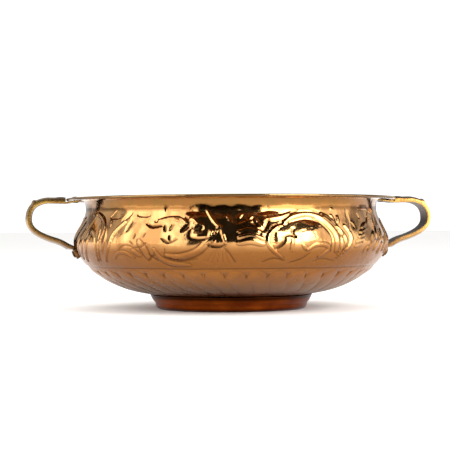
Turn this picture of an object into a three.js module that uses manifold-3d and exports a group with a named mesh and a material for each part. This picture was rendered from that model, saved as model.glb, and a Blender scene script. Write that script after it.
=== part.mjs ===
// Footed brass serving bowl (urli) with two riveted strap handles.
// Millimetres, +Z up. The origin is on the ground under the middle of the foot ring,
// and +X runs along the line of the two handles.

import * as THREE from 'three';
import { mergeVertices } from 'three/addons/utils/BufferGeometryUtils.js';
import Module from 'manifold-3d';

const wasm = await Module();
wasm.setup();

// Turned shapes and gaps
const TURN_STEPS = 64; // facets round the bowl and the foot ring
const WALL_STEPS = 8; // facets up each of the two bends of the wall
const HOLE_STEPS = 12; // facets round a rivet and its hole
const CROWN_STEPS = 6; // facets across the crown of a strap
const BEND_STEPS = 7; // facets along each bend of a strap
const JOINT_GAP = 0.3; // left between pieces that touch

// Bowl: its width at the rim and its height set everything else
const RIM_RADIUS = 152.5;
const BOWL_HEIGHT = 102.5;
const SHEET = 1.2;
const FLANGE_WIDTH = 18; // from the neck out to the rim's edge
const HEM_WIDTH = 5; // the flange's edge, folded under
const HEM_THICKNESS = 2.6;
const NECK_DROP = 10.2; // narrowest place of the neck, below the rim's top
const BELLY_BULGE = 10.3; // belly past the neck
const BELLY_DROP = 40; // widest place of the belly, below the rim's top
const NECK_FILLET = 4.5; // width of the round corner between neck and flange
const FLOOR_RISE = 9.5; // underside of the bowl's floor above the ground

// Foot ring
const FOOT_RADIUS = 76; // where it meets the bowl
const FOOT_TAPER = 5.6; // narrower at the ground by this much
const FOOT_HEIGHT = 14;
const FOOT_WALL = 2.6;
const FOOT_LEDGE = 6; // flat width inside the rounded edge
const FOOT_INSET = 0.4; // top edge inside the corner under the bowl
const FOOT_EDGE = 4.9; // radius of the outer lower edge

// Strap handles
const STRAP_WIDTH = 25.5;
const STRAP_EDGE = 3.4; // thickness at the long edges
const STRAP_CROWN = 5.8; // thickness along the middle
const TONGUE_LENGTH = 14; // reaches in under the flange
const TONGUE_THICKNESS = 1.4;
const HEM_CLEARANCE = 0.9; // left under the hem by the tongue
const HANDLE_REACH = 31.5; // inner face of the loop past the rim
const PLATE_END_IN = 14; // end of the flat thumb plate, in from the outermost place
const PLATE_FALL = 4.6; // the plate's end, below the rim's top
const LOOP_DROP = 19; // outermost place of the loop, below the rim's top
const LOOP_PULL = 9; // how full the bends of the loop are
const ARM_IN = 18; // start of the lower arm, in from the outermost place
const ARM_DROP = 34.8; // start of the lower arm, below the rim's top
const ARM_SLOPE = 0.36; // rise for each millimetre outwards
const ARM_END_OFF = 5.6; // end of the arm, out from the belly
const ARM_END_RISE = 2.2; // end of the arm, above the pad
const SHOULDER_STEP = 0.8; // length over which the tongue becomes the full strap
const LIP_STEP = 3; // facet of the first bend that carries the lip
const LIP_RISE = 1.5; // raised lip at the end of the thumb plate
const PAD_DROP = 9.1; // middle of the pad, below the widest place of the belly
const PAD_LENGTH = 10;
const PAD_THICKNESS = 3;
const PAD_SINK = 0.9; // pad stock that is ground away to fit the round belly

// Rivets
const RIVET_RADIUS = 1.8;
const RIVET_HEAD_RADIUS = 3.5;
const RIVET_HEAD_RISE = 1.3;
const RIVET_TAIL_RISE = 1;
const RIVET_SPACING = 14; // between the two rivets of a pair
const RIVET_DROP = 0.6; // rivets below the middle of the pad
const ROUND_GAP = 1.2; // under the flat heads and tails of rivets in the round belly

// Heights and radii that follow from those sizes
const neckRadius = RIM_RADIUS - FLANGE_WIDTH;
const neckHeight = BOWL_HEIGHT - NECK_DROP;
const bellyRadius = neckRadius + BELLY_BULGE;
const bellyHeight = BOWL_HEIGHT - BELLY_DROP;
const flangeUnderside = BOWL_HEIGHT - SHEET;
const padHeight = bellyHeight - PAD_DROP;

const brass = {
  bowl: new THREE.MeshStandardMaterial({ color: 0xc08a3e, roughness: 0.22, metalness: 1 }),
  foot: new THREE.MeshStandardMaterial({ color: 0x9a5f28, roughness: 0.3, metalness: 1 }),
  handle: new THREE.MeshStandardMaterial({ color: 0xb89050, roughness: 0.35, metalness: 1 }),
  rivet: new THREE.MeshStandardMaterial({ color: 0xb08442, roughness: 0.35, metalness: 1 }),
};

function positionsOnly(geometry) {
  const bare = geometry.clone();
  bare.deleteAttribute('normal');
  bare.deleteAttribute('uv');
  return mergeVertices(bare, 1e-4);
}

function toSolid(geometry) {
  const merged = positionsOnly(geometry);
  return new wasm.Manifold(new wasm.Mesh({
    numProp: 3,
    vertProperties: new Float32Array(merged.attributes.position.array),
    triVerts: new Uint32Array(merged.index.array),
  }));
}

function toGeometry(solid) {
  const mesh = solid.getMesh();
  const geometry = new THREE.BufferGeometry();
  geometry.setAttribute('position', new THREE.BufferAttribute(mesh.vertProperties, 3));
  geometry.setIndex(new THREE.BufferAttribute(mesh.triVerts, 1));
  geometry.computeVertexNormals();
  return geometry;
}

// A closed outline of [radius, height] points, turned about the Z axis.
// The points run anticlockwise in the (radius, height) plane, so that the faces point out.
function turned(points, steps) {
  const lathe = new THREE.LatheGeometry(points.map(([r, z]) => new THREE.Vector2(r, z)), steps);
  return positionsOnly(lathe).rotateX(Math.PI / 2);
}

// The outside of the bowl's wall, from the foot ring up to the flange, as [radius, height].
function wallOutside() {
  const wall = new THREE.Path();
  wall.moveTo(FOOT_RADIUS, FOOT_HEIGHT);
  const lowerReach = (bellyRadius - FOOT_RADIUS) * 0.65;
  wall.bezierCurveTo(
    FOOT_RADIUS + lowerReach, FOOT_HEIGHT + lowerReach * 0.14,
    bellyRadius, bellyHeight - (bellyHeight - FOOT_HEIGHT) * 0.32,
    bellyRadius, bellyHeight,
  );
  const shoulderRise = (neckHeight - bellyHeight) * 0.3;
  wall.bezierCurveTo(
    bellyRadius, bellyHeight + shoulderRise,
    neckRadius, neckHeight - shoulderRise,
    neckRadius, neckHeight,
  );
  return wall;
}

function wallPoints(divisions) {
  const points = wallOutside().getPoints(divisions);
  return points.filter((p, i) => i === 0 || p.distanceTo(points[i - 1]) > 1e-6);
}

// Where the outside of the wall stands at a height, and which way it faces there.
function wallAt(height) {
  const points = wallPoints(WALL_STEPS);
  const next = points.findIndex((p) => p.y >= height);
  const [a, b] = [points[next - 1], points[next]];
  const t = (height - a.y) / (b.y - a.y);
  const outward = new THREE.Vector2(b.y - a.y, a.x - b.x).normalize();
  return { radius: a.x + (b.x - a.x) * t, outward };
}

// The same line moved inwards by a distance, square to itself.
function offsetLine(points, distance) {
  return points.map((p, i) => {
    const before = points[Math.max(i - 1, 0)];
    const after = points[Math.min(i + 1, points.length - 1)];
    const along = after.clone().sub(before).normalize();
    return new THREE.Vector2(p.x - along.y * distance, p.y + along.x * distance);
  });
}

// The underside of the bowl's floor: level in the middle, rising to the foot ring.
function floorUnderside() {
  const floor = new THREE.CubicBezierCurve(
    new THREE.Vector2(0, FLOOR_RISE),
    new THREE.Vector2(FOOT_RADIUS * 0.5, FLOOR_RISE),
    new THREE.Vector2(FOOT_RADIUS * 0.8, FOOT_HEIGHT - FOOT_RADIUS * 0.03),
    new THREE.Vector2(FOOT_RADIUS, FOOT_HEIGHT),
  );
  return floor.getPoints(4);
}

function bowlShell() {
  const outside = [...floorUnderside(), ...wallPoints(WALL_STEPS).slice(1)];
  const inside = offsetLine(outside, SHEET);
  inside[0].x = 0;
  const hemUnderside = BOWL_HEIGHT - HEM_THICKNESS;
  const hemStart = RIM_RADIUS - HEM_WIDTH;
  const edgeRound = HEM_THICKNESS * 0.3;
  const midNeck = flangeUnderside - (flangeUnderside - neckHeight) * 0.45;
  const flange = [
    [neckRadius + NECK_FILLET * 0.11, midNeck],
    [neckRadius + NECK_FILLET * 0.45, flangeUnderside - (flangeUnderside - neckHeight) * 0.13],
    [neckRadius + NECK_FILLET, flangeUnderside],
    [hemStart, flangeUnderside],
    [hemStart + edgeRound, hemUnderside],
    [RIM_RADIUS - edgeRound, hemUnderside],
    [RIM_RADIUS, hemUnderside + edgeRound],
    [RIM_RADIUS, BOWL_HEIGHT - edgeRound],
    [RIM_RADIUS - edgeRound, BOWL_HEIGHT],
    [neckRadius + NECK_FILLET * 0.78, BOWL_HEIGHT],
    [neckRadius + NECK_FILLET * 0.13, BOWL_HEIGHT - NECK_FILLET * 0.31],
    [neckRadius - SHEET + NECK_FILLET * 0.09, midNeck],
  ];
  const outline = [
    ...outside.map((p) => [p.x, p.y]),
    ...flange,
    ...inside.reverse().map((p) => [p.x, p.y]),
  ];
  return turned([...outline, outline[0]], TURN_STEPS);
}

function footRing() {
  const underside = floorUnderside();
  const heightUnder = (radius) => {
    const next = underside.findIndex((p) => p.x >= radius);
    const [a, b] = [underside[next - 1], underside[next]];
    return a.y + (b.y - a.y) * (radius - a.x) / (b.x - a.x) - JOINT_GAP;
  };
  const groundRadius = FOOT_RADIUS - FOOT_TAPER;
  const topOutside = FOOT_RADIUS - FOOT_INSET;
  const topInside = topOutside - FOOT_WALL;
  const ledgeInside = groundRadius - FOOT_EDGE - FOOT_LEDGE;
  const outline = [
    [ledgeInside, 0],
    [groundRadius - FOOT_EDGE * 1.1, 0],
    [groundRadius - FOOT_EDGE * 0.4, FOOT_EDGE * 0.3],
    [groundRadius, FOOT_EDGE],
    [groundRadius + FOOT_TAPER * 0.4, FOOT_HEIGHT * 0.55],
    [FOOT_RADIUS - FOOT_TAPER * 0.3, FOOT_HEIGHT * 0.82],
    [topOutside, heightUnder(topOutside)],
    [topInside, heightUnder(topInside)],
    [groundRadius - FOOT_WALL, FOOT_HEIGHT * 0.42],
    [ledgeInside, FOOT_WALL * 0.8],
  ];
  return turned([...outline, outline[0]], TURN_STEPS);
}

// The underside of a handle's tongue at a distance from the bowl's axis: it lies against the
// flange at its inner end, and slopes down to pass under the hem.
function tongueUnderside(x) {
  const innerEnd = flangeUnderside - JOINT_GAP - TONGUE_THICKNESS;
  const underHem = BOWL_HEIGHT - HEM_THICKNESS - HEM_CLEARANCE - TONGUE_THICKNESS;
  const along = (x - (RIM_RADIUS - TONGUE_LENGTH)) / TONGUE_LENGTH;
  return THREE.MathUtils.lerp(innerEnd, underHem, along);
}

// The strap's inner face, seen from the side: tongue, thumb plate, loop, lower arm, pad.
// x is the distance from the bowl's axis. Each point also holds the strap's thickness at its
// long edges and along its middle. A step in thickness makes the shoulder that meets the rim,
// and a low bump makes the lip at the end of the thumb plate.
function strapStations() {
  const tongueX = RIM_RADIUS - TONGUE_LENGTH;
  const shoulderX = RIM_RADIUS + JOINT_GAP;
  const tongueEnd = new THREE.Vector2(tongueX, tongueUnderside(tongueX));
  const shoulder = new THREE.Vector2(shoulderX, tongueUnderside(shoulderX));
  const loopX = RIM_RADIUS + HANDLE_REACH;
  const padTop = padHeight + PAD_LENGTH / 2;
  const padFoot = padHeight - PAD_LENGTH / 2;
  const onWall = (height) => {
    const { radius, outward } = wallAt(height);
    const lift = JOINT_GAP - PAD_SINK;
    return new THREE.Vector2(radius + outward.x * lift, height + outward.y * lift);
  };

  const flat = (x, y, thickness) => ({ x, y, edge: thickness, middle: thickness });
  const full = (point, rise = 0) => (
    { x: point.x, y: point.y, edge: STRAP_EDGE + rise, middle: STRAP_CROWN + rise }
  );
  const stations = [
    flat(tongueEnd.x, tongueEnd.y, TONGUE_THICKNESS),
    flat(shoulder.x, shoulder.y, TONGUE_THICKNESS),
    full(new THREE.Vector2(shoulder.x + SHOULDER_STEP, shoulder.y)),
  ];

  const plateEnd = new THREE.Vector2(loopX - PLATE_END_IN, BOWL_HEIGHT - PLATE_FALL);
  const outermost = new THREE.Vector2(loopX, BOWL_HEIGHT - LOOP_DROP);
  const armStart = new THREE.Vector2(loopX - ARM_IN, BOWL_HEIGHT - ARM_DROP);
  const armEnd = new THREE.Vector2(wallAt(padTop).radius + ARM_END_OFF, padTop + ARM_END_RISE);
  const pulled = (point, x, y) => point.clone().add(new THREE.Vector2(x, y).multiplyScalar(LOOP_PULL));
  stations.push(full(plateEnd.clone().lerp(shoulder, 0.5)));
  const bends = [
    new THREE.CubicBezierCurve(
      plateEnd, pulled(plateEnd, 1, -0.13), pulled(outermost, 0, 1), outermost,
    ),
    new THREE.CubicBezierCurve(
      outermost, pulled(outermost, 0, -0.9), pulled(armStart, 1, ARM_SLOPE), armStart,
    ),
    new THREE.CubicBezierCurve(
      armStart, pulled(armStart, -0.9, -0.9 * ARM_SLOPE), pulled(armEnd, 0.7, 0.5), armEnd,
    ),
  ];
  bends.forEach((bend, which) => {
    const lipAt = which === 0 ? LIP_STEP : -1;
    bend.getPoints(BEND_STEPS).slice(which === 0 ? 0 : 1).forEach((point, i) => {
      stations.push(full(point, i === lipAt ? LIP_RISE : 0));
    });
  });

  const padFlat = padHeight + RIVET_HEAD_RADIUS + ROUND_GAP;
  [[padTop, 0.3], [padFlat, 1], [padHeight, 1], [padFoot, 1]].forEach(([height, thinning]) => {
    const point = onWall(height);
    const thickness = THREE.MathUtils.lerp(STRAP_EDGE, PAD_THICKNESS, thinning);
    const middle = THREE.MathUtils.lerp(STRAP_CROWN, PAD_THICKNESS, thinning);
    stations.push({ x: point.x, y: point.y, edge: thickness + PAD_SINK, middle: middle + PAD_SINK });
  });
  return stations;
}

// One closed skin through all the stations. Each ring has a flat inner face and a crowned
// outer face, and the rings stand square to the strap's side view.
function strapSkin(stations) {
  const ringSize = CROWN_STEPS + 3;
  const vertices = [];
  stations.forEach((station, i) => {
    const before = stations[Math.max(i - 1, 0)];
    const after = stations[Math.min(i + 1, stations.length - 1)];
    const along = new THREE.Vector2(after.x - before.x, after.y - before.y).normalize();
    const outward = new THREE.Vector2(-along.y, along.x);
    const ring = [[-STRAP_WIDTH / 2, 0], [STRAP_WIDTH / 2, 0]];
    for (let step = 0; step <= CROWN_STEPS; step += 1) {
      const across = 1 - 2 * step / CROWN_STEPS;
      const depth = station.edge + (station.middle - station.edge) * (1 - across ** 2);
      ring.push([across * STRAP_WIDTH / 2, depth]);
    }
    ring.forEach(([y, depth]) => {
      vertices.push(station.x + outward.x * depth, y, station.y + outward.y * depth);
    });
  });

  const triangles = [];
  for (let i = 0; i < stations.length - 1; i += 1) {
    for (let j = 0; j < ringSize; j += 1) {
      const a = i * ringSize + j;
      const b = i * ringSize + (j + 1) % ringSize;
      triangles.push(a, b, a + ringSize, b, b + ringSize, a + ringSize);
    }
  }
  const last = (stations.length - 1) * ringSize;
  for (let j = 1; j < ringSize - 1; j += 1) {
    triangles.push(0, j + 1, j);
    triangles.push(last, last + j, last + j + 1);
  }
  const skin = new THREE.BufferGeometry();
  skin.setAttribute('position', new THREE.Float32BufferAttribute(vertices, 3));
  skin.setIndex(triangles);
  return skin;
}

// The belly as a solid, grown by the joint gap, for grinding the pads to fit it.
function bellyTool() {
  const grown = offsetLine(wallPoints(WALL_STEPS), -JOINT_GAP).map((p) => [p.x, p.y]);
  const [lowest, highest] = [grown[0], grown[grown.length - 1]];
  const outline = [[0, lowest[1]], ...grown, [0, highest[1]]];
  return turned([...outline, outline[0]], TURN_STEPS);
}

// Places of the rivets. Each has a name, the point on the sheet that it goes through, the
// direction of its head, and what lies above and below that point along it.
function rivetPlaces() {
  const places = [];
  const tongueMiddle = RIM_RADIUS - HEM_WIDTH - RIVET_HEAD_RADIUS;
  const rivetHeight = padHeight - RIVET_DROP;
  const pad = wallAt(rivetHeight);
  for (const [sideName, side] of [['left', -1], ['right', 1]]) {
    for (const [edgeName, edge] of [['front', -1], ['back', 1]]) {
      const y = edge * RIVET_SPACING / 2;
      places.push({
        name: `rim_rivet_${sideName}_${edgeName}`,
        point: new THREE.Vector3(side * tongueMiddle, y, flangeUnderside),
        head: new THREE.Vector3(0, 0, 1),
        above: SHEET + JOINT_GAP,
        below: flangeUnderside - tongueUnderside(tongueMiddle + RIVET_HEAD_RADIUS) + JOINT_GAP / 2,
      });
      const round = new THREE.Vector3(side * Math.sqrt(pad.radius ** 2 - y ** 2), y, 0).normalize();
      places.push({
        name: `belly_rivet_${sideName}_${edgeName}`,
        point: round.clone().multiplyScalar(pad.radius).setZ(rivetHeight),
        head: round.clone().multiplyScalar(pad.outward.x).setZ(pad.outward.y),
        above: PAD_THICKNESS + ROUND_GAP,
        below: SHEET + ROUND_GAP,
      });
    }
  }
  return places;
}

function rivetTurn(place) {
  return new THREE.Quaternion().setFromUnitVectors(new THREE.Vector3(0, 0, 1), place.head);
}

function rivet(place) {
  const tail = -place.below;
  const seat = place.above;
  const outline = [
    [0, tail - RIVET_TAIL_RISE],
    [RIVET_HEAD_RADIUS * 0.7, tail - RIVET_TAIL_RISE],
    [RIVET_HEAD_RADIUS * 0.9, tail],
    [RIVET_RADIUS, tail],
    [RIVET_RADIUS, seat],
    [RIVET_HEAD_RADIUS, seat],
    [RIVET_HEAD_RADIUS * 0.75, seat + RIVET_HEAD_RISE * 0.7],
    [0, seat + RIVET_HEAD_RISE],
  ];
  return turned(outline, HOLE_STEPS);
}

function rivetHole(place) {
  const reach = 2 * (place.above + place.below);
  const radius = RIVET_RADIUS + JOINT_GAP;
  const hole = new THREE.CylinderGeometry(radius, radius, reach, HOLE_STEPS);
  hole.rotateX(Math.PI / 2).applyQuaternion(rivetTurn(place));
  return hole.translate(place.point.x, place.point.y, place.point.z);
}

// ---- the assembly ----

const bowl = new THREE.Group();

function addPiece(name, geometry, material) {
  const piece = new THREE.Mesh(geometry, material);
  piece.name = name;
  bowl.add(piece);
  return piece;
}

const places = rivetPlaces();
const drill = (solid) => places.reduce((rest, place) => rest.subtract(toSolid(rivetHole(place))), solid);

addPiece('bowl_shell', toGeometry(drill(toSolid(bowlShell()))), brass.bowl);
addPiece('foot_ring', footRing(), brass.foot);

const rightStrap = toSolid(strapSkin(strapStations()));
const leftStrap = toSolid(strapSkin(strapStations()).rotateZ(Math.PI));
const belly = toSolid(bellyTool());
addPiece('handle_left', toGeometry(drill(leftStrap.subtract(belly))), brass.handle);
addPiece('handle_right', toGeometry(drill(rightStrap.subtract(belly))), brass.handle);

for (const place of places) {
  const piece = addPiece(place.name, rivet(place), brass.rivet);
  piece.position.copy(place.point);
  piece.quaternion.copy(rivetTurn(place));
}

export default bowl;
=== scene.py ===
import math

import bpy
import numpy as np
from mathutils import Matrix, Vector


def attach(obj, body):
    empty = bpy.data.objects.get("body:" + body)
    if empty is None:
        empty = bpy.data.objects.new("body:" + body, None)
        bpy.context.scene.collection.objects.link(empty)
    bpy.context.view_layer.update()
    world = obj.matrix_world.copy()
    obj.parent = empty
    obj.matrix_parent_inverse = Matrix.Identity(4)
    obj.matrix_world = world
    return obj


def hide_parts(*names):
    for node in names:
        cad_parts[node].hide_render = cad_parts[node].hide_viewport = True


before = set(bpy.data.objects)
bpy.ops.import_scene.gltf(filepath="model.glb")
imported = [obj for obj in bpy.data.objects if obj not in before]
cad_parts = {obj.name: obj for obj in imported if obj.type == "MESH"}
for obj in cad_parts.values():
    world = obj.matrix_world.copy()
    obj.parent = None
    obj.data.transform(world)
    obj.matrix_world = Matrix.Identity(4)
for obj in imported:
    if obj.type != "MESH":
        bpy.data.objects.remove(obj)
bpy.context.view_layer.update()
MM = 0.001

# Camera: a long lens a little below the rim, nearly square on to the two handles.
# The left handle stands slightly nearer to it than the right one.
CAMERA_DISTANCE = 1.2125
CAMERA_HEIGHT = 0.0741
CAMERA_TURN = math.radians(6.5)
CAMERA_LENS = 104.0
CAMERA_RISE, CAMERA_ROLL, CAMERA_AIM = math.radians(90.15), math.radians(0.33), math.radians(0.26)
camera_data = bpy.data.cameras.new("studio_camera")
camera_data.lens = CAMERA_LENS
camera_data.sensor_width = 36.0
camera = bpy.data.objects.new("studio_camera", camera_data)
bpy.context.scene.collection.objects.link(camera)
camera.location = (
    -math.sin(CAMERA_TURN) * CAMERA_DISTANCE,
    -math.cos(CAMERA_TURN) * CAMERA_DISTANCE,
    CAMERA_HEIGHT,
)
camera.rotation_euler = (CAMERA_RISE, CAMERA_ROLL, CAMERA_AIM - CAMERA_TURN)
bpy.context.scene.camera = camera
bpy.context.scene.view_settings.view_transform = "Standard"


# Studio: a pale tabletop that runs out of sight, white paper behind it, tall soft boxes and
# dimmer white cards round both sides, and a wide soft box overhead. The front between the
# boxes is unlit, which polished metal shows as a dark space.
TABLE_WIDTH = 60.0
DARK_FRONT, WHITE_PAPER, PALE_ROOM = 0.02, 0.55, 1.2


def to_linear(hex_colour):
    channels = [int(hex_colour[i:i + 2], 16) / 255 for i in (1, 3, 5)]
    curve = [c / 12.92 if c <= 0.04045 else ((c + 0.055) / 1.055) ** 2.4 for c in channels]
    return (*curve, 1.0)


def add_node(tree, kind, settings=None, inputs=None):
    node = tree.nodes.new(kind)
    for name, value in (settings or {}).items():
        setattr(node, name, value)
    for name, value in (inputs or {}).items():
        if isinstance(value, bpy.types.NodeSocket):
            tree.links.new(value, node.inputs[name])
        else:
            node.inputs[name].default_value = value
    return node


def start_material(name):
    material = bpy.data.materials.new(name)
    material.use_nodes = True
    tree = material.node_tree
    tree.nodes.clear()
    shader = add_node(tree, "ShaderNodeBsdfPrincipled")
    add_node(tree, "ShaderNodeOutputMaterial", None, {"Surface": shader.outputs["BSDF"]})
    return material, tree, shader


bpy.ops.object.select_all(action="DESELECT")
bpy.ops.mesh.primitive_plane_add(size=TABLE_WIDTH, location=(0.0, 0.0, 0.0))
tabletop = bpy.context.object
tabletop.name = "tabletop"
table_paint, _, table_shader = start_material("matt_white_tabletop")
table_shader.inputs["Base Color"].default_value = to_linear("#f2f1ef")
table_shader.inputs["Roughness"].default_value = 0.85
table_shader.inputs["Specular IOR Level"].default_value = 0.1
tabletop.data.materials.append(table_paint)

world = bpy.data.worlds.new("white_paper_behind")
bpy.context.scene.world = world
world.use_nodes = True
sky = world.node_tree
sky.nodes.clear()
# Metal sees the dark front and the paper; the camera and matt things see an even pale room.
sky_place = add_node(sky, "ShaderNodeTexCoord")
sky_axes = add_node(sky, "ShaderNodeSeparateXYZ", None, {"Vector": sky_place.outputs["Generated"]})
paper = add_node(sky, "ShaderNodeMapRange", {"interpolation_type": "SMOOTHSTEP"}, {
    "Value": sky_axes.outputs["Y"], "From Min": 0.72, "From Max": 0.96,
    "To Min": DARK_FRONT, "To Max": WHITE_PAPER})
seen = add_node(sky, "ShaderNodeLightPath")
room = add_node(sky, "ShaderNodeMath", {"operation": "MAXIMUM"}, {
    0: seen.outputs["Is Camera Ray"], 1: seen.outputs["Is Diffuse Ray"]})
strength = add_node(sky, "ShaderNodeMix", {"data_type": "FLOAT"}, {
    0: room.outputs[0], 2: paper.outputs["Result"], 3: PALE_ROOM})
glow = add_node(sky, "ShaderNodeBackground", None, {
    "Color": to_linear("#ffffff"), "Strength": strength.outputs[0]})
add_node(sky, "ShaderNodeOutputWorld", None, {"Surface": glow.outputs["Background"]})


def soft_box(name, turn, distance, width, height, lowest, radiance):
    # turn is the direction from the bowl, in degrees from the front towards the right handle
    light = bpy.data.lights.new(name, "AREA")
    light.shape = "RECTANGLE"
    light.size = width
    light.size_y = height
    light.energy = radiance * width * height * math.pi
    box = bpy.data.objects.new(name, light)
    bpy.context.scene.collection.objects.link(box)
    angle = math.radians(turn)
    box.location = (
        math.sin(angle) * distance, -math.cos(angle) * distance, lowest + height / 2,
    )
    box.rotation_euler = (math.radians(90), 0.0, angle)
    return box


soft_box("left_soft_box", -66.0, 1.1, 1.14, 1.3, 0.0, 2.8)
soft_box("left_white_card", -117.0, 1.05, 0.95, 1.0, 0.0, 0.65)
soft_box("right_soft_box_front", 38.5, 1.3, 0.87, 1.2, 0.0, 8.0)
soft_box("right_soft_box_side", 76.0, 1.1, 0.76, 1.0, 0.0, 1.9)
soft_box("right_white_card", 120.0, 1.1, 1.03, 0.6, 0.0, 0.7)
top_box = soft_box("overhead_soft_box", 180.0, 0.25, 1.8, 1.6, 0.8, 0.9)
top_box.rotation_euler = (0.0, 0.0, 0.0)


# Bowl: one disc of sheet brass, raised with hammers into a deep round bowl with a drawn-in
# neck and a flat flange, whose edge is folded under. The outside carries a frieze pushed up
# from the back and sharpened with punches from the front, then polished bright.
RIM_RADIUS, BOWL_HEIGHT, SHEET = 152.5, 102.5, 1.2
NECK_RADIUS, NECK_HEIGHT = 134.5, 92.3
BELLY_RADIUS, BELLY_HEIGHT = 144.8, 62.5
FOOT_RADIUS, FOOT_HEIGHT, FLOOR_RISE = 76.0, 14.0, 9.5
HEM_WIDTH, HEM_ROUND = 5.0, 1.3
TURN_STEPS = 780
LOWER_LINE_STEPS, UPPER_LINE_STEPS = 400, 400
UNEVEN_RISE = 0.09


def bend(start, pull_start, pull_end, end, count):
    t = np.linspace(0, 1, count)[:, None]
    corners = [np.array(p, dtype=float) for p in (start, pull_start, pull_end, end)]
    return ((1 - t) ** 3 * corners[0] + 3 * (1 - t) ** 2 * t * corners[1]
            + 3 * (1 - t) * t ** 2 * corners[2] + t ** 3 * corners[3])


lower_reach = (BELLY_RADIUS - FOOT_RADIUS) * 0.65
lower_wall = bend(
    (FOOT_RADIUS, FOOT_HEIGHT),
    (FOOT_RADIUS + lower_reach, FOOT_HEIGHT + lower_reach * 0.14),
    (BELLY_RADIUS, BELLY_HEIGHT - (BELLY_HEIGHT - FOOT_HEIGHT) * 0.32),
    (BELLY_RADIUS, BELLY_HEIGHT), LOWER_LINE_STEPS)
shoulder_rise = (NECK_HEIGHT - BELLY_HEIGHT) * 0.3
upper_wall = bend(
    (BELLY_RADIUS, BELLY_HEIGHT), (BELLY_RADIUS, BELLY_HEIGHT + shoulder_rise),
    (NECK_RADIUS, NECK_HEIGHT - shoulder_rise), (NECK_RADIUS, NECK_HEIGHT), UPPER_LINE_STEPS)
wall = np.vstack([lower_wall, upper_wall[1:]])
floor = bend((0, FLOOR_RISE), (FOOT_RADIUS * 0.5, FLOOR_RISE),
             (FOOT_RADIUS * 0.8, FOOT_HEIGHT - FOOT_RADIUS * 0.03),
             (FOOT_RADIUS, FOOT_HEIGHT), 6)


def wall_radius(height):
    return np.interp(height, wall[:, 1], wall[:, 0])


def rows(low, high, count):
    heights = np.linspace(low, high, count, endpoint=False)
    return np.column_stack([wall_radius(heights), heights])


def inwards(line, distance):
    along = np.gradient(line, axis=0)
    along /= np.linalg.norm(along, axis=1)[:, None]
    return line + np.column_stack([-along[:, 1], along[:, 0]]) * distance


# Rows of the outside stand close together where the frieze and the scallops need them.
RING_ROWS_END, FRIEZE_ROWS_END = 44, 89
low_rows = lower_wall[np.linspace(0, 170, 17).astype(int)]
outside = np.vstack([
    floor[:-1], low_rows[:-1], rows(low_rows[-1][1], RING_ROWS_END, 17),
    rows(RING_ROWS_END, BELLY_HEIGHT, 23), rows(BELLY_HEIGHT, FRIEZE_ROWS_END, 32),
    rows(FRIEZE_ROWS_END, NECK_HEIGHT, 3),
])
underside = BOWL_HEIGHT - SHEET
flange_under = bend((NECK_RADIUS, NECK_HEIGHT), (NECK_RADIUS, underside - 3),
                    (NECK_RADIUS + 1.6, underside), (NECK_RADIUS + 6, underside), 6)
hem_angles = np.radians([-90, -45, 0, 45, 90])
hem = np.column_stack([
    RIM_RADIUS - HEM_ROUND + HEM_ROUND * np.cos(hem_angles),
    BOWL_HEIGHT - HEM_ROUND + HEM_ROUND * np.sin(hem_angles)])
hem_fold = np.array([
    (RIM_RADIUS - HEM_WIDTH, underside),
    (RIM_RADIUS - HEM_WIDTH + 0.4, BOWL_HEIGHT - 2 * HEM_ROUND + 0.1)])
flange_top = bend((NECK_RADIUS + 5, BOWL_HEIGHT), (NECK_RADIUS + 1.5, BOWL_HEIGHT),
                  (NECK_RADIUS - SHEET, BOWL_HEIGHT - 2), (NECK_RADIUS - SHEET, NECK_HEIGHT), 4)
inside_line = inwards(np.vstack([floor, lower_wall[40::60], upper_wall[80::110]]), SHEET)
inside_line[0][0] = 0
outline = np.vstack([outside, flange_under, hem_fold, hem, flange_top, inside_line[::-1][1:]])


def turn_outline(name, points, steps):
    bpy.ops.object.select_all(action="DESELECT")
    bpy.ops.mesh.primitive_plane_add(size=MM)
    piece = bpy.context.object
    piece.name = name
    bpy.ops.object.mode_set(mode="EDIT")
    bpy.ops.mesh.merge(type="CENTER")
    first = Vector((points[0][0], 0, points[0][1])) * MM
    bpy.ops.transform.translate(value=first)
    before = first
    for radius, height in points[1:]:
        here = Vector((radius, 0, height)) * MM
        bpy.ops.mesh.extrude_vertices_move(TRANSFORM_OT_translate={"value": here - before})
        before = here
    bpy.ops.mesh.select_all(action="SELECT")
    bpy.ops.mesh.spin(steps=steps, angle=2 * math.pi, center=(0, 0, 0), axis=(0, 0, 1))
    bpy.ops.mesh.select_all(action="SELECT")
    bpy.ops.mesh.remove_doubles(threshold=0.02 * MM)
    bpy.ops.mesh.normals_make_consistent(inside=False)
    bpy.ops.object.mode_set(mode="OBJECT")
    bpy.ops.object.shade_smooth()
    return piece


bowl = turn_outline("hammered_bowl", outline, TURN_STEPS)

# The frieze is laid out flat: degrees round from the front, and height above the table.
# Each stroke is a smooth line with its half width and its rise, which is negative where a
# punch has cut in. The same half is repeated on the other side of the bowl.
FRIEZE_RADIUS = 142
ARC = math.radians(1) * FRIEZE_RADIUS
FRIEZE_LOW, FRIEZE_TOP = 41, 96
RIDGE_WIDEN, RIDGE_RAISE = 1.3, 1.05
CUT_WIDEN, CUT_SINK = 1.4, 0.8
EDGE_SINK, EDGE_SOOT = 0.15, 0.8


def smooth_line(points, steps=8):
    p = np.array(points, dtype=float) * (ARC, 1)
    if len(p) < 2:
        return np.vstack([p, p + 0.01])
    ends = np.vstack([2 * p[0] - p[1], p, 2 * p[-1] - p[-2]])
    line = []
    for a, b, c, d in zip(ends, ends[1:], ends[2:], ends[3:]):
        for t in np.linspace(0, 1, steps, endpoint=False):
            line.append(0.5 * (2 * b + (c - a) * t + (2 * a - 5 * b + 4 * c - d) * t ** 2
                               + (3 * b - a - 3 * c + d) * t ** 3))
    line.append(p[-1])
    return np.array(line)


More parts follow.
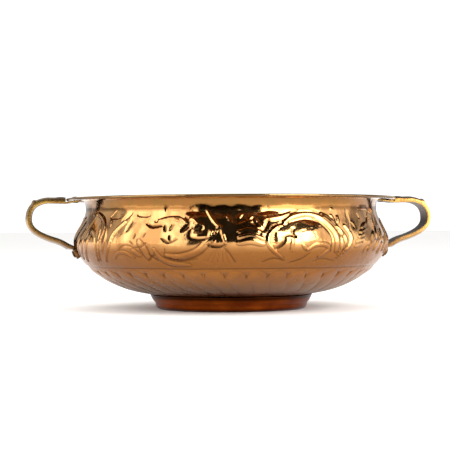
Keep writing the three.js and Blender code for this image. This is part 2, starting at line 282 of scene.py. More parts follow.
def stroke_field(spots, points, width, halo):
    # how much of the stroke stands at each spot, from 0 to 1; halo is the line chased round it
    line = smooth_line(points)
    low, high = line.min(axis=0) - 1.6 * width, line.max(axis=0) + 1.6 * width
    near = np.all((spots >= low) & (spots <= high), axis=1)
    field = np.zeros(len(spots))
    if not near.any():
        return field
    here = spots[near]
    best = np.full(len(here), 9.0)
    count = len(line) - 1
    for i, (a, b) in enumerate(zip(line, line[1:])):
        step = b - a
        t = np.clip(((here - a) @ step) / (step @ step), 0, 1)
        gap = np.linalg.norm(here - a - t[:, None] * step, axis=1)
        along = (i + t) / count
        reach = width * (0.5 + 0.5 * np.sqrt(np.sin(np.pi * np.clip(along, 0.02, 0.98))))
        best = np.minimum(best, gap / reach)
    field[near] = np.where(best < 1, (1 - best ** 2) ** 2, 0)
    halo[near] = np.maximum(halo[near], np.exp(-((best - 1.05) / 0.28) ** 2))
    return field


ridges = [
    # reeds beside the left handle
    ([(-90, 58), (-86, 70), (-80, 84)], 2.0, 0.9),
    ([(-87, 54), (-82, 66), (-76, 80)], 1.8, 0.9),
    ([(-82, 50), (-78, 62), (-73, 74)], 1.8, 0.8),
    ([(-78, 48), (-73, 60), (-69, 78), (-66, 86)], 1.8, 0.8),
    ([(-74, 46), (-70, 56), (-66, 68)], 1.7, 0.8),
    ([(-69, 86), (-65, 87), (-60, 82), (-57, 74), (-58, 64)], 1.6, 0.8),
    ([(-66, 72), (-62, 66), (-62, 54), (-64, 46)], 1.6, 0.8),
    ([(-61, 80), (-59, 68), (-60, 56), (-62, 47)], 1.5, 0.8),
    ([(-56, 76), (-55, 66), (-58, 54)], 1.4, 0.7),
    ([(-47, 81), (-51, 71), (-53, 60), (-58, 46)], 1.3, 0.9),
    ([(-55, 82), (-54, 76)], 1.3, 0.6),
    # hill and buds
    ([(-52, 49), (-49, 54), (-45, 54), (-42, 50)], 1.4, 0.6),
    ([(-39, 64), (-37, 57), (-36, 50)], 2.6, 0.7),
    ([(-42, 56), (-39, 52)], 1.8, 0.5),
    # swimming bird: wing, belly and tail
    ([(-13, 72), (-14, 64), (-18, 55), (-24, 51), (-29, 52)], 2.4, 1.3),
    ([(-33, 57), (-31, 49), (-27, 45), (-21, 44)], 1.8, 0.7),
    ([(-24, 83), (-22, 79), (-20, 82), (-18, 79)], 1.2, 0.8),
    ([(-15, 90), (-13, 82), (-10, 74)], 1.2, 0.8),
    ([(-10.6, 76), (-12, 68), (-14, 58)], 1.2, 0.9),
    ([(-10, 76), (-9, 68), (-8, 60)], 1.2, 0.9),
    ([(-8, 85), (-6.5, 79)], 1.1, 0.7),
    ([(-19, 76), (-17, 78), (-15, 76)], 1.0, 0.7),
    ([(-4, 82), (-2.5, 86)], 1.1, 0.7),
    ([(-1, 80), (1, 84)], 1.1, 0.7),
    ([(-4, 77), (-1, 79), (2, 80)], 1.4, 0.8),
    ([(-3, 75), (0, 77), (3, 74)], 1.6, 0.9),
    ([(-4, 71), (0, 73), (4, 70)], 2.3, 1.0),
    ([(-4, 66.5), (0, 68.5), (4, 65.5)], 2.3, 1.0),
    ([(-4, 62), (0, 64), (4, 61)], 2.3, 1.0),
    ([(2, 82), (2.5, 78), (4, 75)], 1.6, 0.9),
    # grazing beast: brow, back and hind leg
    ([(11, 77), (8, 73), (6, 67), (6, 61), (8, 55), (11, 50)], 1.5, 0.9),
    ([(4, 81), (8, 82), (12, 84), (18, 89)], 1.6, 0.7),
    ([(12, 79), (15, 83.5), (21, 86), (26, 84), (30, 77), (32, 67), (32, 55)], 2.7, 1.2),
    ([(14.5, 66), (14, 60), (14, 55)], 1.2, 0.7),
    ([(20, 56), (23, 60), (27, 60), (28.5, 56), (25, 50)], 1.6, 0.8),
    ([(20, 56), (18, 60)], 1.5, 0.7),
    ([(27, 87), (31, 82), (34, 72), (34.5, 58), (33, 50)], 1.3, 0.8),
    ([(33, 75), (36, 66), (36, 56)], 1.7, 0.9),
    ([(37, 76), (39, 68), (38, 59), (33.5, 49)], 1.7, 1.2),
    ([(28, 84), (31, 79), (33, 73)], 1.6, 0.9),
    ([(32, 85), (33, 79)], 1.2, 0.7),
    ([(35, 84), (34.5, 78)], 1.2, 0.7),
    # leaves beside the right handle
    ([(41, 58), (45, 61)], 1.5, 0.9),
    ([(41.5, 62), (46, 65)], 1.5, 0.9),
    ([(43, 66), (47.5, 69)], 1.5, 0.9),
    ([(45, 70), (49.5, 73)], 1.6, 0.9),
    ([(47, 74), (51, 78)], 1.6, 0.9),
    ([(47, 53), (49, 58)], 1.8, 0.9),
    ([(50, 55), (52, 62)], 2.0, 1.0),
    ([(51, 63), (54, 70)], 2.2, 1.0),
    ([(54, 55), (57, 63)], 2.2, 1.0),
    ([(55, 66), (58, 74)], 2.2, 1.0),
    ([(59, 52), (61, 61)], 2.2, 1.0),
    ([(60, 64), (63, 73)], 2.2, 1.0),
    ([(64, 54), (67, 66)], 2.2, 1.0),
    ([(69, 52), (70, 68), (73, 80)], 2.0, 0.9),
    ([(75, 54), (76, 68), (79, 82)], 2.0, 0.9),
    ([(81, 56), (82, 70), (84, 84)], 2.0, 0.9),
    ([(49, 90), (55, 91), (61, 86)], 1.3, 0.7),
    ([(57, 89), (55, 83), (52, 78)], 1.2, 0.7),
    ([(63, 88), (60, 82), (58, 76)], 1.2, 0.7),
]
cuts = [
    ([(-55, 84), (-53, 89)], 1.5, 0.9),
    ([(-55.5, 84.5), (-51, 84.5)], 1.5, 0.9),
    ([(-52.5, 88), (-51, 84.5)], 1.4, 0.9),
    ([(-48.5, 81), (-45, 88)], 1.4, 1.0),
    ([(-44, 79), (-45, 73)], 1.7, 1.0),
    ([(-41.5, 86.5), (-37, 86)], 1.5, 1.0),
    ([(-37, 79), (-34.5, 76.5), (-31, 77)], 1.4, 1.0),
    ([(-33.5, 82.5), (-33.5, 80)], 1.2, 0.9),
    ([(-41, 70), (-41.5, 66)], 1.2, 0.8),
    ([(-37, 71), (-37.5, 67)], 1.2, 0.8),
    ([(-43, 64), (-41.5, 61)], 1.3, 0.8),
    ([(-29.5, 77), (-29, 72.5)], 1.6, 1.0),
    ([(-26.5, 78), (-27.5, 73)], 1.2, 0.9),
    ([(-30, 66), (-27.5, 62)], 1.5, 1.0),
    ([(-27, 68.5), (-27, 62)], 1.4, 1.0),
    ([(-24.5, 65.5), (-27, 62)], 1.3, 1.0),
    ([(-48, 57), (-46, 60), (-43, 60), (-41, 58)], 1.1, 0.7),
    ([(-41, 58), (-38, 59), (-36, 62)], 1.1, 0.7),
    ([(-35.5, 53), (-32.5, 47)], 1.2, 0.8),
    ([(-33, 53), (-36.5, 47)], 1.2, 0.8),
    ([(-33, 84), (-30, 86.5), (-25, 87), (-23, 84)], 2.1, 1.2),
    ([(-29.5, 88), (-30.5, 93)], 1.4, 1.0),
    ([(-22, 83), (-21, 78), (-23, 72)], 1.8, 1.1),
    ([(-20, 72), (-20, 67), (-17, 65), (-13, 67)], 1.3, 1.1),
    ([(-17, 70), (-16, 76)], 0.9, 0.6),
    ([(-14.5, 61), (-11, 59), (-8, 61)], 1.2, 1.0),
    ([(-9, 59), (-7, 53), (-5, 46)], 1.0, 0.7),
    ([(-29, 58), (-29, 50), (-24, 47), (-18, 49)], 1.0, 0.7),
    ([(6.5, 80), (5, 74), (3, 69)], 1.4, 1.2),
    ([(10, 75), (12, 80), (16, 87), (21, 88.5), (27, 87)], 1.2, 0.9),
    ([(14, 79), (17, 81), (21, 82.5), (25, 80), (28, 74), (29.5, 66), (29.5, 54)], 1.1, 0.9),
    ([(15, 74), (14.5, 70), (15.5, 66)], 1.1, 1.0),
    ([(10.5, 66), (13, 68.5), (15.5, 67)], 1.1, 1.0),
    ([(11.5, 65), (10.5, 61), (8.5, 57)], 1.6, 1.1),
    ([(14, 45), (18, 48), (21, 53)], 1.1, 0.7),
    ([(4, 46), (8, 49), (12, 47)], 1.1, 0.7),
    ([(23, 46), (27, 48), (33, 46)], 1.0, 0.6),
    ([(40.5, 90), (40.5, 80), (38.5, 70)], 1.1, 0.8),
    ([(47, 86), (47.5, 83)], 1.4, 0.9),
    ([(41.5, 77.5), (42, 75)], 1.5, 1.0),
    ([(34, 69), (36, 60), (35, 52)], 1.1, 0.8),
    ([(53, 84), (58, 82)], 1.0, 0.8),
]
for k in range(6):
    cuts.append(([(-11.5 + k * 0.7, 58), (-15 + k * 1.9, 46)], 0.8, 0.45))
for k in range(5):
    cuts.append(([(6.8, 71 - k * 2.1), (8.6, 70 - k * 2.1)], 0.8, 0.7))
for k in range(7):
    for j in range(5):
        spot = (20 + k * 1.25 - j * 0.4, 58 + j * 3.4 + k * 0.6)
        cuts.append(([spot], 0.9, 0.4))
domes = [
    # middle, half width in degrees, half height in mm, rise
    ((-17, 91), 3.5, 3.0, 0.45),
    ((-9.5, 90), 3.0, 3.0, 0.45),
    ((-3, 91), 3.2, 3.0, 0.45),
    ((4, 90.5), 3.0, 3.0, 0.4),
    ((21.5, 70), 6.6, 11.0, 0.8),
    ((-17, 69), 3.2, 3.2, 0.8),
    ((-22, 58), 6.5, 6.5, 0.9),
    ((-19, 82), 5.5, 7.0, 0.7),
    ((-11, 62.5), 1.3, 2.8, 1.0),
    ((7, 84), 5.0, 5.0, 0.6),
    ((33, 90), 1.2, 1.8, 0.7),
    ((-46, 51), 4.0, 3.4, 0.5),
    ((-57, 66), 9.0, 18.0, 0.3),
    ((55, 64), 10.0, 16.0, 0.8),
    ((0, 68), 5.0, 9.0, 0.6),
]

mesh = bowl.data
count = len(mesh.vertices)
place = np.empty(count * 3)
normal = np.empty(count * 3)
mesh.vertices.foreach_get("co", place)
mesh.vertices.foreach_get("normal", normal)
place = place.reshape(-1, 3)
normal = normal.reshape(-1, 3)
height = place[:, 2] / MM
radius = np.hypot(place[:, 0], place[:, 1]) / MM
turn = np.degrees(np.arctan2(place[:, 0], -place[:, 1]))
outer = np.sum(normal[:, :2] * place[:, :2], axis=1) - normal[:, 2] * 0.05 > 0
outer &= radius > wall_radius(np.clip(height, FOOT_HEIGHT, NECK_HEIGHT)) - 0.5
half_turn = (turn + 90) % 180 - 90

band = outer & (height > FRIEZE_LOW) & (height < FRIEZE_TOP)
lift = np.zeros(count)
cut_polish_and_shade = np.zeros(count)
band_lift = np.zeros(band.sum())
band_soot = np.zeros(band.sum())
band_halo = np.zeros(band.sum())
for shift in (-180, 0, 180):
    spots = np.column_stack([(half_turn[band] + shift) * ARC, height[band]])
    for points, width, rise in ridges:
        ridge = stroke_field(spots, points, width * RIDGE_WIDEN, band_halo)
        band_lift += rise * RIDGE_RAISE * ridge
    for points, width, depth in cuts:
        cut = stroke_field(spots, points, width * CUT_WIDEN, np.zeros(len(spots)))
        band_lift -= depth * CUT_SINK * cut
        band_soot = np.maximum(band_soot, cut * min(depth, 1))
    for middle, half_wide, half_high, rise in domes:
        across = (half_turn[band] + shift - middle[0]) / half_wide
        up = (height[band] - middle[1]) / half_high
        far = across ** 2 + up ** 2
        band_lift += np.where(far < 1, rise * (1 - far) ** 1.5, 0)
lift[band] = band_lift - EDGE_SINK * band_halo
cut_polish_and_shade[band] = np.maximum(band_soot, EDGE_SOOT * band_halo)

# Below the frieze: a chased ring, a row of scallops with a punched mark between each two,
# and slanting petals that run in to the foot.
SCALLOPS = 44
RING_HEIGHT, SCALLOP_TOP, SCALLOP_FOOT = 40.3, 38.6, 32.0
low = outer & (height < 44) & (height > FOOT_HEIGHT + 0.5)
step = 360 / SCALLOPS
within = ((turn[low] + 0.7) / step) % 1
low_height = height[low]
ring = np.exp(-((low_height - RING_HEIGHT) / 0.55) ** 2)
arch = SCALLOP_FOOT + (SCALLOP_TOP - SCALLOP_FOOT) * np.sqrt(np.sin(np.pi * within))
arch_line = np.exp(-((low_height - arch) / 0.6) ** 2)
arch_side = np.minimum(within, 1 - within) * step * ARC * 0.85
up_mark = np.clip((low_height - SCALLOP_FOOT) / (SCALLOP_TOP - SCALLOP_FOOT), 0, 1)
mark = np.exp(-((arch_side - 0.2 - 1.5 * up_mark) / 0.55) ** 2)
mark *= np.clip((SCALLOP_TOP - 1.6 - low_height) / 1.2, 0, 1)
mark *= np.clip((low_height - SCALLOP_FOOT + 0.8) / 1.2, 0, 1)
slant = (turn[low] + 0.7 + (low_height - 32) * 0.4) / step % 1
petal_fade = np.clip((31.5 - low_height) / 3, 0, 1) * np.clip((low_height - 15) / 4, 0, 1)
petal_line = np.exp(-(np.minimum(slant, 1 - slant) * step * ARC * 0.7 / 0.9) ** 2) * petal_fade
petal_swell = np.sin(np.pi * slant) * petal_fade
scallop_swell = np.sin(np.pi * within) * np.clip((arch - low_height) / 2, 0, 1)
scallop_swell *= np.clip((low_height - 29.5) / 3, 0, 1)
lift[low] += (-0.55 * ring - 0.3 * arch_line - 0.75 * mark - 0.4 * petal_line
              + 0.35 * petal_swell + 0.3 * scallop_swell)
for line_soot in (0.8 * ring, 0.75 * mark, 0.3 * petal_line, 0.35 * arch_line):
    cut_polish_and_shade[low] = np.maximum(cut_polish_and_shade[low], line_soot)

# The folded edge throws its own underside and the flange's into shade, painted here as a dark band.
cut_polish_and_shade[(radius > NECK_RADIUS + 3) & (height > 98) & (height < BOWL_HEIGHT - 1.1)] = 0.9

# Hand raising leaves the whole wall faintly uneven, more so up the frieze.
angle = np.radians(turn)
uneven = (np.sin(7 * angle + height * 0.11) + np.sin(13 * angle - height * 0.17 + 1.3)
          + 0.7 * np.sin(23 * angle + height * 0.23 + 0.4)
          + 0.5 * np.sin(37 * angle - height * 0.31 + 2.1))
wall_part = (height > 16) & (height < 99) & (radius < NECK_RADIUS + 12)
fade = np.clip((height - 16) / 20, 0, 1) * np.clip((99 - height) / 8, 0, 1)
lift += np.where(outer & wall_part, UNEVEN_RISE * uneven * fade, 0)
place += normal * (lift * MM)[:, None]
mesh.vertices.foreach_set("co", place.reshape(-1))
# This layer holds the dark polish left in the cuts and the painted shade under the folded edge.
cut_polish_and_shade_layer = mesh.attributes.new("cut_polish_and_hem_shade", "FLOAT", "POINT")
cut_polish_and_shade_layer.data.foreach_set("value", cut_polish_and_shade)
mesh.update()

# Polished brass that has warmed with age: mirror bright over the frieze, browner and
# softer below it and at the neck where the buff reaches less; that darker brown is also painted
# shade, darkest towards the foot. Rubbed pale along the rim, partly wear and partly a painted
# highlight, and with dark polish left in the cuts and painted shade under the folded edge.
bowl_brass, tree, shader = start_material("polished_hammered_brass")
coords = add_node(tree, "ShaderNodeTexCoord")
axes = add_node(tree, "ShaderNodeSeparateXYZ", None, {"Vector": coords.outputs["Object"]})
cloud = add_node(tree, "ShaderNodeTexNoise", None, {
    "Vector": coords.outputs["Object"], "Scale": 28.0, "Detail": 3.0})
fine = add_node(tree, "ShaderNodeTexNoise", None, {
    "Vector": coords.outputs["Object"], "Scale": 420.0, "Detail": 4.0})
# Bright brass above this height; below it a darker brown that is partly tarnish and partly painted
# shade.
polish_and_shade_by_height = add_node(tree, "ShaderNodeMapRange", {"interpolation_type": "SMOOTHSTEP"}, {
    "Value": axes.outputs["Z"], "From Min": 0.053, "From Max": 0.068})
# Painted shade: the brown grows darker towards the foot.
by_foot = add_node(tree, "ShaderNodeMapRange", {"interpolation_type": "SMOOTHSTEP"}, {
    "Value": axes.outputs["Z"], "From Min": 0.014, "From Max": 0.038})
brown = add_node(tree, "ShaderNodeMix", {"data_type": "RGBA"}, {
    0: by_foot.outputs["Result"], 6: to_linear("#704d2a"), 7: to_linear("#9c6632")})
# A darker band under the frieze: partly less polish, partly painted shade.
less_buffed_and_shaded = add_node(tree, "ShaderNodeMapRange", {"interpolation_type": "SMOOTHSTEP"}, {
    "Value": axes.outputs["Z"], "From Min": 0.034, "From Max": 0.044})
under_frieze = add_node(tree, "ShaderNodeMix", {"data_type": "RGBA"}, {
    0: less_buffed_and_shaded.outputs["Result"], 6: brown.outputs[2], 7: to_linear("#84552a")})
bright = add_node(tree, "ShaderNodeMix", {"data_type": "RGBA"}, {
    0: polish_and_shade_by_height.outputs["Result"], 6: under_frieze.outputs[2], 7: to_linear("#e2ad6f")})
# The neck under the flange is painted darker: partly less polish, partly painted shade.
neck_dull_and_shaded = add_node(tree, "ShaderNodeMapRange", {"interpolation_type": "SMOOTHSTEP"}, {
    "Value": axes.outputs["Z"], "From Min": 0.0880, "From Max": 0.0915})
neck_end = add_node(tree, "ShaderNodeMapRange", None, {
    "Value": axes.outputs["Z"], "From Min": 0.0995, "From Max": 0.1003, "To Min": 1.0, "To Max": 0.0})
neck_part = add_node(tree, "ShaderNodeMath", {"operation": "MULTIPLY"}, {
    0: neck_dull_and_shaded.outputs["Result"], 1: neck_end.outputs["Result"]})
warm = add_node(tree, "ShaderNodeMix", {"data_type": "RGBA"}, {
    0: neck_part.outputs[0], 6: bright.outputs[2], 7: to_linear("#7c582e")})
upright = add_node(tree, "ShaderNodeMapping", None, {
    "Vector": coords.outputs["Object"], "Scale": (1.0, 1.0, 0.22)})
streak = add_node(tree, "ShaderNodeTexNoise", None, {
    "Vector": upright.outputs["Vector"], "Scale": 110.0, "Detail": 4.0})
patches = add_node(tree, "ShaderNodeMath", {"operation": "MULTIPLY"}, {
    0: cloud.outputs["Fac"], 1: streak.outputs["Fac"]})
mottle = add_node(tree, "ShaderNodeMapRange", None, {
    "Value": patches.outputs[0], "From Min": 0.16, "From Max": 0.36, "To Min": 0.0, "To Max": 0.75})
aged = add_node(tree, "ShaderNodeMix", {"data_type": "RGBA"}, {
    0: mottle.outputs["Result"], 6: warm.outputs[2], 7: to_linear("#8a5a30")})
# The rim top is painted paler: partly rubbed wear, partly a painted highlight.
rim_rub_and_highlight = add_node(tree, "ShaderNodeMapRange", {"interpolation_type": "SMOOTHSTEP"}, {
    "Value": axes.outputs["Z"], "From Min": 0.1004, "From Max": 0.1012, "To Max": 0.6})
rubbed_and_highlit = add_node(tree, "ShaderNodeMix", {"data_type": "RGBA"}, {
    0: rim_rub_and_highlight.outputs["Result"], 6: aged.outputs[2], 7: to_linear("#d8b87c")})
# Dark polish in the cuts and painted shade under the folded edge, read from the same layer.
cut_polish_and_shade_seen = add_node(tree, "ShaderNodeAttribute", {"attribute_name": "cut_polish_and_hem_shade"})
cut_polish_and_shade_amount = add_node(tree, "ShaderNodeMapRange", None, {
    "Value": cut_polish_and_shade_seen.outputs["Fac"], "From Min": 0.15, "From Max": 0.9, "To Min": 0.0, "To Max": 0.85})
tone = add_node(tree, "ShaderNodeMix", {"data_type": "RGBA"}, {
    0: cut_polish_and_shade_amount.outputs["Result"], 6: rubbed_and_highlit.outputs[2], 7: to_linear("#3c1e0a")})
tree.links.new(tone.outputs[2], shader.inputs["Base Color"])
shader.inputs["Metallic"].default_value = 1.0
dull = add_node(tree, "ShaderNodeMath", {"operation": "MULTIPLY_ADD"}, {
    0: rim_rub_and_highlight.outputs["Result"], 1: -0.4, 2: polish_and_shade_by_height.outputs["Result"]})
gloss = add_node(tree, "ShaderNodeMapRange", None, {
    "Value": dull.outputs[0], "To Min": 0.24, "To Max": 0.09})
gloss_fine = add_node(tree, "ShaderNodeMath", {"operation": "MULTIPLY_ADD"}, {
    0: cloud.outputs["Fac"], 1: 0.08, 2: gloss.outputs["Result"]})
tree.links.new(gloss_fine.outputs[0], shader.inputs["Roughness"])
hammer = add_node(tree, "ShaderNodeTexVoronoi", {"feature": "SMOOTH_F1"}, {
    "Vector": coords.outputs["Object"], "Scale": 130.0})
hammer_bump = add_node(tree, "ShaderNodeBump", None, {
    "Height": hammer.outputs["Distance"], "Strength": 0.16, "Distance": 0.001})
uneven_noise = add_node(tree, "ShaderNodeTexNoise", None, {
    "Vector": coords.outputs["Object"], "Scale": 120.0, "Detail": 3.0})
uneven_bump = add_node(tree, "ShaderNodeBump", None, {
    "Height": uneven_noise.outputs["Fac"], "Strength": 0.2, "Distance": 0.001,
    "Normal": hammer_bump.outputs["Normal"]})
fine_bump = add_node(tree, "ShaderNodeBump", None, {
    "Height": fine.outputs["Fac"], "Strength": 0.12, "Distance": 0.0004,
    "Normal": uneven_bump.outputs["Normal"]})
tree.links.new(fine_bump.outputs["Normal"], shader.inputs["Normal"])
bowl.data.materials.append(bowl_brass)
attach(bowl, "root")
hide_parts("bowl_shell")

# Foot: a band of thicker brass, spun to a taper with a rounded lower edge and a flat inner
# ledge that rests on the table. It is brazed on under the bowl and left less polished.
FOOT_TAPER, FOOT_EDGE, FOOT_LEDGE, FOOT_WALL = 5.6, 4.9, 8.0, 2.6
JOINT = 0.3
ground_radius = FOOT_RADIUS - FOOT_TAPER
edge = bend((ground_radius - FOOT_EDGE * 1.1, 0), (ground_radius - FOOT_EDGE * 0.3, 0),
            (ground_radius - 0.3, FOOT_EDGE * 0.4), (ground_radius, FOOT_EDGE), 7)
side = bend((ground_radius + 0.3, FOOT_EDGE + 1), (ground_radius + FOOT_TAPER * 0.4, 7.5),
            (FOOT_RADIUS - 1.8, 10.5), (FOOT_RADIUS - 0.5, FOOT_HEIGHT - 0.45), 9)
ledge_inner = ground_radius - FOOT_EDGE - FOOT_LEDGE + 2
foot_outline = np.vstack([
    [(ledge_inner + 0.5, 0)], edge, side,
    [(FOOT_RADIUS - 0.8, FOOT_HEIGHT - JOINT - 0.25),
     (FOOT_RADIUS - 3.4, FOOT_HEIGHT - 1.1),
     (FOOT_RADIUS - 4.2, FOOT_HEIGHT - 2.6),
     (ground_radius - FOOT_WALL, 6.2),
     (ground_radius - FOOT_WALL - 2.5, 3.4),
     (ledge_inner + 0.6, 2.1), (ledge_inner, 1.6), (ledge_inner, 0.5), (ledge_inner + 0.5, 0)],
])
foot = turn_outline("foot_band", foot_outline, 256)

# Brass left to brown with age. The dark band at the braze above is partly flux and partly
# painted shade under the bowl's overhang; the darkening along the lower edge is a painted contact
# shadow.
foot_brass, tree, shader = start_material("brown_aged_brass")
coords = add_node(tree, "ShaderNodeTexCoord")
axes = add_node(tree, "ShaderNodeSeparateXYZ", None, {"Vector": coords.outputs["Object"]})
cloud = add_node(tree, "ShaderNodeTexNoise", None, {
    "Vector": coords.outputs["Object"], "Scale": 45.0, "Detail": 4.0})
tarnish = add_node(tree, "ShaderNodeMapRange", None, {
    "Value": cloud.outputs["Fac"], "From Min": 0.35, "From Max": 0.65})
brown = add_node(tree, "ShaderNodeMix", {"data_type": "RGBA"}, {
    0: tarnish.outputs["Result"], 6: to_linear("#a04e14"), 7: to_linear("#78340e")})
# Dark band at the top of the foot: partly flux at the braze, partly painted shade under the bowl.
braze_and_overhang_shade = add_node(tree, "ShaderNodeMapRange", {"interpolation_type": "SMOOTHSTEP"}, {
    "Value": axes.outputs["Z"], "From Min": 0.0085, "From Max": 0.0120, "To Max": 0.9})
dark = add_node(tree, "ShaderNodeMix", {"data_type": "RGBA"}, {
    0: braze_and_overhang_shade.outputs["Result"], 6: brown.outputs[2], 7: to_linear("#220d05")})
# Painted contact shadow: darker towards the ground along the lower edge.
contact_shadow = add_node(tree, "ShaderNodeMapRange", {"interpolation_type": "SMOOTHSTEP"}, {
    "Value": axes.outputs["Z"], "From Min": 0.0005, "From Max": 0.0040, "To Min": 0.8, "To Max": 0.0})
contact_shadowed = add_node(tree, "ShaderNodeMix", {"data_type": "RGBA"}, {
    0: contact_shadow.outputs["Result"], 6: dark.outputs[2], 7: to_linear("#2e1408")})
tree.links.new(contact_shadowed.outputs[2], shader.inputs["Base Color"])
shader.inputs["Metallic"].default_value = 1.0
shader.inputs["Roughness"].default_value = 0.28
turning = add_node(tree, "ShaderNodeTexNoise", {"noise_dimensions": "1D"}, {
    "W": axes.outputs["Z"], "Scale": 900.0, "Detail": 2.0})
turning_bump = add_node(tree, "ShaderNodeBump", None, {
    "Height": turning.outputs["Fac"], "Strength": 0.2, "Distance": 0.0003})
tree.links.new(turning_bump.outputs["Normal"], shader.inputs["Normal"])
foot.data.materials.append(foot_brass)
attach(foot, "root")
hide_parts("foot_ring")

# Handles: two cast brass straps with a crowned back, bent to an ear. A thin tongue goes in
# under the flange, a flat thumb plate with a raised lip follows, and the lower arm ends in
# a pad ground to the round of the belly. Filed by hand and polished less than the bowl.
STRAP_WIDTH, STRAP_EDGE, STRAP_CROWN = 25.5, 3.2, 5.6
TONGUE_LENGTH, TONGUE_THICKNESS, HEM_CLEARANCE = 14.0, 1.4, 0.9
HANDLE_REACH, LIP_RISE, SHOULDER_RISE = 31.5, 1.5, 0.7
LIP_PLACE, SHOULDER_PLACE = (178.6, 94.8), RIM_RADIUS + 4.5
PAD_HEIGHT, PAD_LENGTH, PAD_THICKNESS = 53.4, 10.0, 3.0
ACROSS = 12
loop_x = RIM_RADIUS + HANDLE_REACH
plate_low = BOWL_HEIGHT - 2 * HEM_ROUND - HEM_CLEARANCE - TONGUE_THICKNESS
pad_top, pad_foot = PAD_HEIGHT + PAD_LENGTH / 2, PAD_HEIGHT - PAD_LENGTH / 2
ARM_END_OFF, ARM_END_RISE = 5.6, 2.2
arm_end = (wall_radius(pad_top) + ARM_END_OFF, pad_top + ARM_END_RISE)
line = [
    (np.linspace((RIM_RADIUS - TONGUE_LENGTH, underside - 1.7),
                 (RIM_RADIUS + 0.3, plate_low), 5), TONGUE_THICKNESS, TONGUE_THICKNESS),
    (np.linspace((RIM_RADIUS + 0.5, plate_low), (loop_x - 15, BOWL_HEIGHT - 4.5), 8),
     STRAP_EDGE, STRAP_CROWN),
    (bend((loop_x - 14, BOWL_HEIGHT - 4.6), (loop_x - 5, BOWL_HEIGHT - 5.8),
          (loop_x, BOWL_HEIGHT - 10), (loop_x, BOWL_HEIGHT - 19), 26), STRAP_EDGE, STRAP_CROWN),
    (bend((loop_x, BOWL_HEIGHT - 20), (loop_x, BOWL_HEIGHT - 27),
          (loop_x - 9, BOWL_HEIGHT - 31.6), (loop_x - 18, BOWL_HEIGHT - 34.8), 14),
     STRAP_EDGE, STRAP_CROWN),
    (bend((loop_x - 19.5, BOWL_HEIGHT - 35.3), (loop_x - 26, BOWL_HEIGHT - 37.2),
          (arm_end[0] + 5, arm_end[1] + 3.2), arm_end, 10), STRAP_EDGE, STRAP_CROWN),
    (np.array([(wall_radius(z) + 0.35, z) for z in np.linspace(pad_top - 0.5, pad_foot, 8)]),
     PAD_THICKNESS, PAD_THICKNESS + 0.3),
]
centre = np.vstack([part[0] for part in line])
edge_depth = np.concatenate([np.full(len(part[0]), part[1]) for part in line])
crown_depth = np.concatenate([np.full(len(part[0]), part[2]) for part in line])
ALONG = len(centre)
tangent = np.gradient(centre, axis=0)
tangent /= np.linalg.norm(tangent, axis=1)[:, None]
outward = np.column_stack([-tangent[:, 1], tangent[:, 0]])
from_lip = np.hypot(centre[:, 0] - LIP_PLACE[0], centre[:, 1] - LIP_PLACE[1])
from_shoulder = np.abs(centre[:, 0] - SHOULDER_PLACE) + 50 * (centre[:, 1] < plate_low - 4)
lip = (LIP_RISE * np.exp(-(from_lip / 1.5) ** 4)
       + SHOULDER_RISE * np.exp(-(from_shoulder / 4) ** 4) * (edge_depth > TONGUE_THICKNESS))
on_pad = np.clip((pad_top + 3 - centre[:, 1]) / 4, 0, 1) * (np.arange(ALONG) > ALONG - 16)


def make_handle(name):
    bpy.ops.object.select_all(action="DESELECT")
    bpy.ops.mesh.primitive_grid_add(
        x_subdivisions=ALONG - 1, y_subdivisions=ACROSS, size=1.0)
    strap = bpy.context.object
    strap.name = name
    bpy.ops.object.mode_set(mode="EDIT")
    bpy.ops.mesh.select_all(action="SELECT")
    bpy.ops.mesh.extrude_region_move(TRANSFORM_OT_translate={"value": (0, 0, 1)})
    bpy.ops.object.mode_set(mode="OBJECT")
    strap.data.materials.append(handle_brass)
    strap.data.materials.append(handle_inside)
    for face in strap.data.polygons:
        inner_side = all(strap.data.vertices[v].co.z < 0.5 for v in face.vertices)
        face.material_index = 1 if inner_side else 0
    for vertex in strap.data.vertices:
        i = round((vertex.co.x + 0.5) * (ALONG - 1))
        across = vertex.co.y * 2
        depth = edge_depth[i] + (crown_depth[i] - edge_depth[i]) * (1 - across ** 2)
        depth = (depth + lip[i] * (1 - 0.3 * across ** 2)) * (vertex.co.z > 0.5)
        near_end = max(0.0, (4.0 - (centre[i][1] - pad_foot)) / 4.0) if i > ALONG - 9 else 0.0
        half = STRAP_WIDTH / 2 * (1 - 0.16 * near_end ** 2)
        y = across * half
        x = centre[i][0] + outward[i][0] * depth
        x -= on_pad[i] * y * y / (2 * BELLY_RADIUS)
        vertex.co = Vector((x, y, centre[i][1] + outward[i][1] * depth)) * MM
    bpy.ops.object.mode_set(mode="EDIT")
    bpy.ops.mesh.select_all(action="SELECT")
    bpy.ops.mesh.remove_doubles(threshold=0.01 * MM)
    bpy.ops.mesh.normals_make_consistent(inside=False)
    bpy.ops.object.mode_set(mode="OBJECT")
    rounding = strap.modifiers.new("filed_edges", "BEVEL")
    rounding.width = 0.5 * MM
    rounding.segments = 3
    rounding.limit_method = "ANGLE"
    rounding.angle_limit = math.radians(50)
    bpy.ops.object.modifier_apply(modifier=rounding.name)
    bpy.ops.object.shade_smooth_by_angle(angle=math.radians(40))
    return strap


